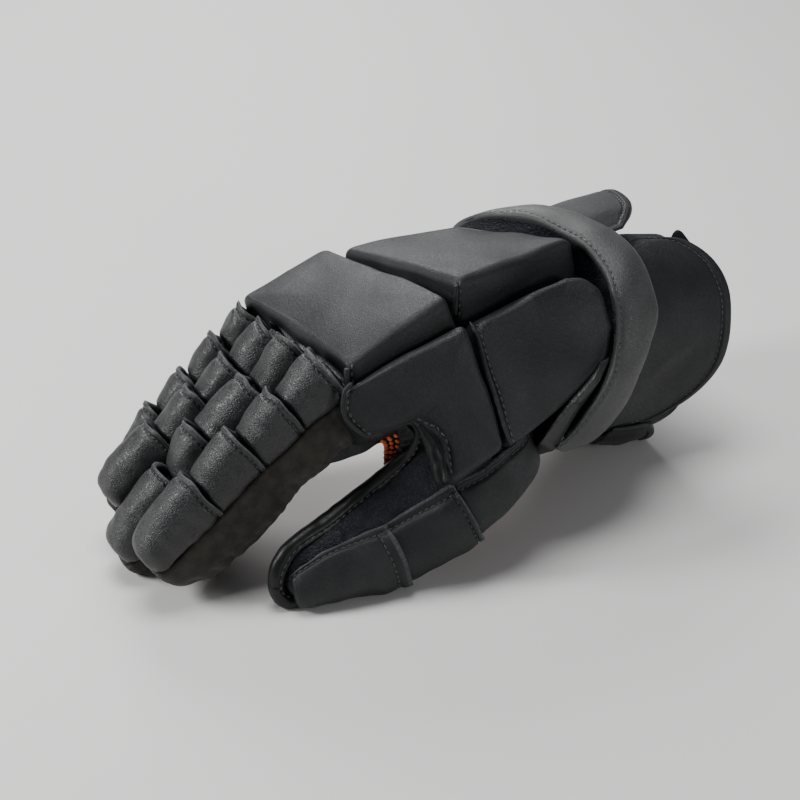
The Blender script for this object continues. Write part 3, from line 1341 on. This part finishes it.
# Wrinkles that run up from the top of the leg roll.
WRINKLES = [[(-18.5, -62, 77.5), (-13, -60, 81)], [(-15.6, -62, 75), (-7.7, -60, 77)],
            [(-19.9, -60, 78.5), (-16.7, -58, 84)], [(-13.2, -64, 72), (-6.9, -62, 73.5)]]
FOLD_TO_STITCHES = 1.9  # millimetres from a fold's middle to the stitches beside it
block_pieces = {}
for name, tools in (
    ("knuckle_block", [*under, *first_pads]),
    ("back_block", [*under, block_forms["knuckle_block"]]),
    ("side_block", [*under, *first_pads, block_forms["knuckle_block"]]),
    ("wrist_block", [*under, block_forms["back_block"], block_forms["side_block"]]),
    ("wrist_gusset", [*under, block_forms["wrist_block"]]),
):
    piece = make_block(name, *tools)
    ripple(piece, 26, 0.25, 50 + len(name), where=block_wear)
    if name == "side_block":
        press(piece, LEG_SEAM, 0.7, 1.3)
        for number, line in enumerate(WRINKLES):
            press(piece, line, 0.35 - 0.04 * number, 0.9)
    skin, slot = (PEBBLED, "leather") if name == "wrist_gusset" else (SMOOTH, "smooth_leather")
    block_pieces[name] = dress(piece, skin, [name])
    if name in FOLDS:
        line, radius = FOLDS[name]
        fold = loft(f"{name}_fold", roll_rings(line, radius, 70, sides=20, drawn_in=0.06))
        dress(ripple(fold, 4, 0.12, 66), SMOOTH)
        beside = [np.array(line) + np.array([FOLD_TO_STITCHES, 0, 0])]
        stitch(f"{name}_stitches", beside, spacing=2.9, on=[block_pieces[name]])
stitch("leg_stitches", [LEG_SEAM], spacing=3.0, on=[block_pieces["side_block"]])

# %% [markdown]
# A padded band crosses the back of the wrist. Its section is a low arch, narrow at both ends of the band,
# and a line of stitches holds its edge towards the fingers.

# %% Wrist band
BAND = table(
    "nx ny nz fx fy fz thick crown",
    (42.5, -69, 51.5, 48, -67.5, 47.5, 3, 0.6),
    (52, -68, 57, 64, -65.5, 49, 4.5, 1.5),
    (62, -64, 65, 78, -61, 57.5, 5.5, 2.5),
    (72, -58.5, 74, 91, -54, 69, 6, 3),
    (79, -53, 83, 99, -50.5, 79, 6, 3),
    (83, -46.5, 93, 105, -45, 90, 6, 3),
    (84.5, -39, 102.5, 106, -36, 103, 6, 3),
    (85, -30, 110, 104, -24, 113, 6, 3),
    (83, -18, 116, 101, -10, 118, 6, 3),
    (79, -5, 119.5, 96, 4, 119.5, 6, 3),
    (74, 8, 121, 91, 17, 118.5, 6, 3),
    (67.5, 22, 119.5, 85, 30, 114.5, 6, 3),
    (58.5, 37, 115, 77, 43, 107.5, 6, 3),
    (52, 51, 104.5, 71, 55, 97, 6, 3),
    (49.5, 57.5, 88, 68, 60, 84, 5.5, 3),
    (50, 57, 70, 67, 58, 67, 5, 2.5),
    (54, 52, 54, 67, 53, 52, 4, 1.5),
    (58, 46, 42, 68, 47, 41, 2.4, 0.6),
)
BAND_INSIDE = np.array([75, 2, 62.0])
BAND_OVER = np.linspace(0, 1, 30)
BAND_UNDER = [(1, 0.4), (0.97, 0.62), (0.88, 0.83), (0.75, 0.94), (0.6, 1), (0.35, 1), (0.2, 0.94),
              (0.1, 0.8), (0, 0.35)]
BAND_SEAM = 0.1  # where its stitches run, as a share of its width
BAND_EDGE = {"raised": 0.35, "over": 0.05}  # its front edge stands up a little
BAND_GROOVE = {"at": BAND_SEAM, "wide": 0.03, "deep": 0.5}
# The lining under the band: how far it hangs, where it starts, its thickness, and the rows left off at its
# ends.
CURTAIN = {"hang": 26, "from": 0.03, "under": 0.8, "forward": 0.5, "lines": 20, "thick": 1.6, "off": 6}


def band_rows(count):
    rows = finer(BAND, count)
    near = np.stack([rows["nx"], rows["ny"], rows["nz"]], 1)
    far = np.stack([rows["fx"], rows["fy"], rows["fz"]], 1)
    out = (near + far) / 2 - BAND_INSIDE
    out[:, 0] = 0
    return near, far, unit(out), rows


def make_band():
    near, far, out, rows = band_rows(150)
    lines = []
    for t in BAND_OVER:
        bulge = rows["crown"] * np.abs(math.sin(math.pi * t)) ** 0.7
        edge = BAND_EDGE["raised"] * math.exp(-((t / BAND_EDGE["over"]) ** 2))
        bulge = bulge + edge - groove(t, BAND_GROOVE)
        lines.append(blend(near, far, t) + out * bulge[:, None])
    for t, depth in BAND_UNDER:
        lines.append(blend(near, far, t) - out * (depth * rows["thick"])[:, None])
    return loft("wrist_band_leather", np.stack(lines, 1))


def make_curtain():
    """A lining that hangs from the band's front edge, into the hollow behind the blocks."""
    near, far, out, _ = band_rows(160)
    along_x = np.array([1.0, 0, 0])
    hang = along_x * CURTAIN["forward"] - out * CURTAIN["hang"]
    top = near + (far - near) * CURTAIN["from"] - out * CURTAIN["under"]
    front = [top + hang * t - along_x * CURTAIN["forward"] for t in np.linspace(0, 1, CURTAIN["lines"])]
    behind = [line + along_x * CURTAIN["thick"] for line in front[::-1]]
    rings = np.stack(front + behind, 1)[CURTAIN["off"]:-CURTAIN["off"]]
    return ripple(loft("band_inside", rings, ends="strip"), 12, 0.4, 62)


def band_seam_line():
    near, far, out, rows = band_rows(200)
    rise = rows["crown"] * math.sin(math.pi * BAND_SEAM) ** 0.7 - 0.3
    return (blend(near, far, BAND_SEAM) + out * rise[:, None])[4:-4]


band = carve(make_band(), sleeve_form, block_forms["wrist_gusset"])
band = dress(ripple(band, 20, 0.3, 61), BANDED, ["wrist_band"])
curtain = dress(carve(make_curtain(), sleeve_form), NAVY)
stitch("band_stitches", [band_seam_line()], spacing=3.2, length=2.2, radius=0.42, on=[band])

# %% [markdown]
# The cuff is two flaps of leather that wrap the sleeve. Each is drawn as cuts at angles round the sleeve,
# from its root to its rim. Five millimetres inside the rim runs a stitched groove, and the rim beyond it is
# a flat pipe.

# %% Cuff flaps
THUMB_SIDE = table(
    "angle from to start rim",
    (98, 100, 127, 0.8, 1.2), (104, 97, 144, 0.8, 1.2), (113, 95, 153, 0.8, 1.4), (124, 94, 158, 0.8, 1.6),
    (138, 92, 160, 0.8, 2), (152, 90, 158.5, 0.8, 2.4), (166, 88, 156, 0.8, 2.6), (180, 85, 151.5, 0.8, 2.6),
    (192, 83, 143, 0.8, 2.4), (202, 82, 131, 0.8, 2), (207, 82, 116, 0.8, 1.6), (209, 83, 100, 0.8, 1.2),
)
LITTLE_SIDE = table(
    "angle from to start rim",
    (-145, 94, 112, 0.8, 1), (-138, 90, 122, 0.8, 1), (-126, 88, 127, 0.8, 1), (-108, 88, 129, 0.8, 1),
    (-90, 88, 130, 0.8, 1), (-65, 88, 132, 0.8, 1.2), (-40, 88, 135, 0.8, 2.4), (-15, 88, 137, 2, 4),
    (10, 87, 138, 5, 8), (32, 86, 137.5, 8, 11), (50, 86, 136, 11, 13), (63, 86, 134.5, 12, 13),
    (74, 90, 133, 12, 12), (84, 94, 130, 11, 11.5), (92, 98, 124, 10, 11), (99, 103, 115, 9.5, 10.5),
)
FLAP = {"thick": 2.8, "piped": 3.6, "pipe": 5.0, "at_ends": 0.3, "thins_over": 20}
FOLD = {"start": (108, 178), "end": (152, 150), "height": 1.3, "wide": 6.0}  # starts and ends at x and angle
FLAP_ROWS = 150
ROW_STEP = 1.1  # millimetres between a flap's rows, about
FLAP_GROOVE = {"beyond": 0.25, "wide": 0.5, "deep": 1.0}  # inside the pipe
FLAP_EDGE = {"round": 1.8, "thinnest": 0.35}


def flap_point(x, angle, stand_off):
    section = section_at(SLEEVE, x)
    section["x"] = np.asarray(x, float)
    section["slant"] = 0 * section["x"]
    return shell_at(section, angle, stand_off)


def flap_skin(rows, t, extra):
    """Points of a flap at shares t of its length, extra millimetres above its underside."""
    x = blend(rows["from"][:, None], rows["to"][:, None], t)
    stand_off = blend(rows["start"][:, None], rows["rim"][:, None], t)
    return flap_point(x, rows["angle"][:, None] + 0 * t, stand_off + extra)


def fold_height(rows, t):
    """A soft crease that runs aslant over the thumb's side of the cuff."""
    x = blend(rows["from"][:, None], rows["to"][:, None], t)
    along = (x - FOLD["start"][0]) / (FOLD["end"][0] - FOLD["start"][0])
    off = (rows["angle"][:, None] - blend(FOLD["start"][1], FOLD["end"][1], along)) / FOLD["wide"]
    fade = ramp(along, 0, 0.3) * (1 - ramp(along, 0.7, 1))
    return FOLD["height"] * fade * (np.exp(-(off**2)) - 0.5 * np.exp(-((off - 1.6) ** 2)))


def make_flap(name, columns, node):
    rows = finer(columns, FLAP_ROWS)
    run = (rows["to"] - rows["from"])[:, None]
    t = np.concatenate([np.linspace(0, 0.8, 26), np.linspace(0.81, 1, 22)])[None, :]
    from_rim = (1 - t) * run
    number = np.arange(FLAP_ROWS)
    from_end = np.minimum(number, number[::-1])[:, None] * ROW_STEP
    inset = np.minimum(from_rim, from_end + 0 * from_rim)
    pipe = ramp(inset, FLAP["pipe"] + 0.8, FLAP["pipe"] - 0.3)
    round_off = np.sqrt(np.clip(1 - (1 - np.clip(inset / FLAP_EDGE["round"], 0, 1)) ** 2, 0, 1))
    off_groove = (inset - FLAP["pipe"] - FLAP_GROOVE["beyond"]) / FLAP_GROOVE["wide"]
    pressed = FLAP_GROOVE["deep"] * np.exp(-(off_groove**2))
    thin = blend(FLAP["at_ends"], 1, ramp(from_end, 0, FLAP["thins_over"]))
    thick = blend(FLAP["thick"], FLAP["piped"], pipe) * thin
    thick = thick * blend(FLAP_EDGE["thinnest"], 1, round_off)
    thick = thick - pressed * thin + fold_height(rows, t)
    upper = on_table(flap_skin(rows, t, thick))
    lower = on_table(flap_skin(rows, t, 0 * thick))
    piece = carve(skin_and_back(name, upper, lower), sleeve_form)
    dress(piece, SMOOTH, [node])
    groove_line = 1 - (FLAP["pipe"] + FLAP_GROOVE["beyond"]) / run
    seam = flap_skin(rows, groove_line, FLAP["thick"] - 0.7)[:, 0]
    return piece, seam[8:-8]


flaps, seams = zip(
    make_flap("thumb_side_flap_leather", THUMB_SIDE, "thumb_side_flap"),
    make_flap("little_side_flap_leather", LITTLE_SIDE, "little_side_flap"),
)
stitch("flap_stitches", seams, spacing=2.9, length=2.0, radius=0.38, on=flaps)

# %% [markdown]
# The palm has a patch of knitted cloth for grip, which lies close on the leather. A small tab of doubled
# cloth at the sleeve's edge helps to pull the glove on. Both are thin closed sheets, so that their edges
# have a thickness.

# %% Grip patch with its dots, and the pull tab
GRIP = {"from": -34, "to": 44, "low": 200, "high": 335, "thick": 1.2, "dot_gap": 3.0, "dot": 0.95}


def make_grip():
    x = np.linspace(GRIP["from"], GRIP["to"], 60)[:, None]
    angles = np.linspace(GRIP["low"], GRIP["high"], 90)[None, :]
    section = section_at(HAND, x + 0 * angles)
    outer = shell_at(section, angles + 0 * x, 2 * GAP + GRIP["thick"])
    inner = shell_at(section, angles + 0 * x, 2 * GAP)
    return carve(skin_and_back("palm_grip_cloth", outer, inner), hand_form, thumb_clear, *stall_forms)


TAB = [(146.5, 14, 92), (157.5, 14, 90.5), (148.5, 14, 102)]  # its foot, its far corner and its peak
TAB_THICK = 1.4


def make_tab():
    """A triangle of doubled cloth that stands on the sleeve's edge."""
    foot, far, peak = np.array(TAB, float)
    share = np.linspace(0, 1, 30)[:, None]
    top = blend(blend(foot, peak, share**0.6), blend(peak, far, share), ramp(share, 0, 0.5))
    base = blend(foot, far, share) - np.array([0, 0, 3.0])
    skin = np.array([blend(base, top, t) for t in np.linspace(0, 1, 10)])
    back = skin[::-1] + np.array([0.2, TAB_THICK, 0])
    return loft("pull_tab_cloth", np.concatenate([skin, back]).transpose(1, 0, 2), ends="strip")


# %% [markdown]
# Between the thumb and the first finger a web of the palm's grip cloth shows, with rows of rubber dots, and
# beside it leather that is gathered into the end of the binding. A web is a saddle between two curves: one
# is its free edge and the other is hidden under its neighbours.

# %% Web of the thumb
WEB_FREE = [(-57, -45, 55), (-46.3, -44, 56), (-36.5, -43, 57.3), (-30, -42.5, 59), (-27.8, -43, 57.5),
            (-28.1, -43.5, 53), (-28.8, -45, 47)]
WEB_HIDDEN = [(-52, -41, 72), (-42, -42, 73), (-32, -46, 73), (-22.4, -53, 73), (-18.6, -52, 62),
              (-19.5, -49, 52), (-21, -46, 44)]
PLEAT_OUTER = [(-24.8, -58.5, 75), (-21, -59, 70), (-19.2, -57.5, 63.6), (-20.2, -54, 57.2),
               (-23.4, -51, 52.8)]
PLEAT_INNER = [(-26.2, -53.5, 69.7), (-24.9, -53.5, 66), (-23.9, -52, 61.5), (-24.2, -49.5, 57.3),
               (-26, -47.5, 54)]
WEB_OUT = np.array([-0.35, -0.85, 0.4])  # the way the web's skin faces
WEB_DOT = 1.25  # radius of its dots
PLEATS = {"folds": 6, "height": 1.3}


def sheet_between(name, first, second, along, across, relief, thick=1.2):
    """A sheet of the given places along and across two curves, raised towards the viewer by relief(a, c)."""
    a, c = np.meshgrid(along, across, indexing="ij")
    line_a, line_b = through(first, along), through(second, along)
    skin = blend(line_a[:, None], line_b[:, None], c[..., None])
    skin = skin + relief(a, c)[..., None] * WEB_OUT
    return skin_and_back(name, skin, skin - thick * WEB_OUT)


def saddle(a, c):
    return -2.2 * np.sin(np.pi * c) + 0.35 * np.sin(a * 5 + c * 7)


def pleated(a, c):
    folds = np.abs(np.sin(a / (len(PLEAT_OUTER) - 1) * np.pi * PLEATS["folds"] + 0.8 * c))
    return PLEATS["height"] * (folds - 0.5) * np.sin(np.pi * np.clip(c, 0.05, 0.95)) + 0.3


breadth = np.linspace(0, 1, 30)
web = sheet_between("web_leather", WEB_FREE, WEB_HIDDEN, np.linspace(0, 3.1, 60), breadth, saddle)
dress(ripple(web, 10, 0.2, 71), SMOOTH)
web_cloth = sheet_between("web_cloth", WEB_FREE, WEB_HIDDEN, np.linspace(3, 6, 60), breadth, saddle)
dress(web_cloth, GRIP_CLOTH)
pleats = sheet_between("gathered_leather", PLEAT_INNER, PLEAT_OUTER, np.linspace(0, 4, 140),
                       np.linspace(0, 1, 16), pleated)
dress(pleats, SMOOTH)


# %% [markdown]
# The dots are printed rubber. They are small flattened balls, one on every point of a coarse grid that
# follows the cloth, turned to the cloth's own direction. The grid itself isn't kept.

# %% Grip dots
def make_dot_tree():
    tree, source, sink = new_tree("grip_dots", [("Dot size", 0.0009)], "Rubber")
    kept = add_node(tree, "GeometryNodeInputNamedAttribute", {"data_type": "BOOLEAN", "Name": "kept"})
    normal = add_node(tree, "GeometryNodeInputNormal")
    turn = add_node(tree, "FunctionNodeAlignRotationToVector", {"axis": "Z"}, {"Vector": normal.outputs[0]})
    flattened = {"operation": "SCALE", "Vector": (1.0, 0.8, 0.45)}
    shape = add_node(tree, "ShaderNodeVectorMath", flattened, {"Scale": source["Dot size"]})
    laid = add_node(tree, "GeometryNodeInstanceOnPoints", {}, {
        "Points": source["Geometry"], "Selection": kept.outputs["Attribute"],
        "Instance": small_ball(tree, 10, 6), "Rotation": turn.outputs[0], "Scale": shape.outputs[0],
    })
    end_tree(tree, laid, source["Rubber"], sink)
    return tree


DOTS = make_dot_tree()


def dot_grid(name, grid, cloth, size, reach=0.6):
    """Dots at the points of a grid of drawing points, where the cloth lies within reach."""
    rows, columns, _ = grid.shape
    index = np.arange(rows * columns).reshape(rows, columns)
    quads = np.stack([index[:-1, :-1], index[:-1, 1:], index[1:, 1:], index[1:, :-1]], -1).reshape(-1, 4)
    carrier = make_mesh(name, grid.reshape(-1, 3), quads.tolist())
    places = [vertex.co for vertex in carrier.data.vertices]
    kept = [(cloth.closest_point_on_mesh(place)[1] - place).length <= reach * MM for place in places]
    carrier.data.attributes.new("kept", "BOOLEAN", "POINT").data.foreach_set("value", kept)
    printed = carrier.modifiers.new("dots", "NODES")
    printed.node_group = DOTS
    set_inputs(printed, {"Dot size": size * MM, "Rubber": DOT_RUBBER})
    return dress(made_plain(carrier, name), DOT_RUBBER)


def grip_grid():
    x = np.arange(GRIP["from"] + 2, GRIP["to"] - 1, GRIP["dot_gap"])
    angles = np.linspace(GRIP["low"] + 2, GRIP["high"] - 2, 34)
    x, angles = np.meshgrid(x, angles, indexing="ij")
    return shell_at(section_at(HAND, x), angles, 2 * GAP + GRIP["thick"])


def web_grid():
    along, across = np.meshgrid(np.linspace(3.15, 5.9, 8), np.linspace(0.08, 0.95, 5), indexing="ij")
    skin = blend(through(WEB_FREE, along), through(WEB_HIDDEN, along), across[..., None])
    return skin + saddle(along, across)[..., None] * WEB_OUT


grip = make_grip()
palm_dots = dot_grid("palm_dots", grip_grid(), grip, GRIP["dot"])
dress(grip, GRIP_CLOTH, ["palm_grip"])
web_dots = dot_grid("web_dots", web_grid(), web_cloth, WEB_DOT, reach=3)
tab = dress(make_tab(), LINING, ["pull_tab"])
discard(*under, *first_pads, *block_forms.values(), binding_form, leg_form)
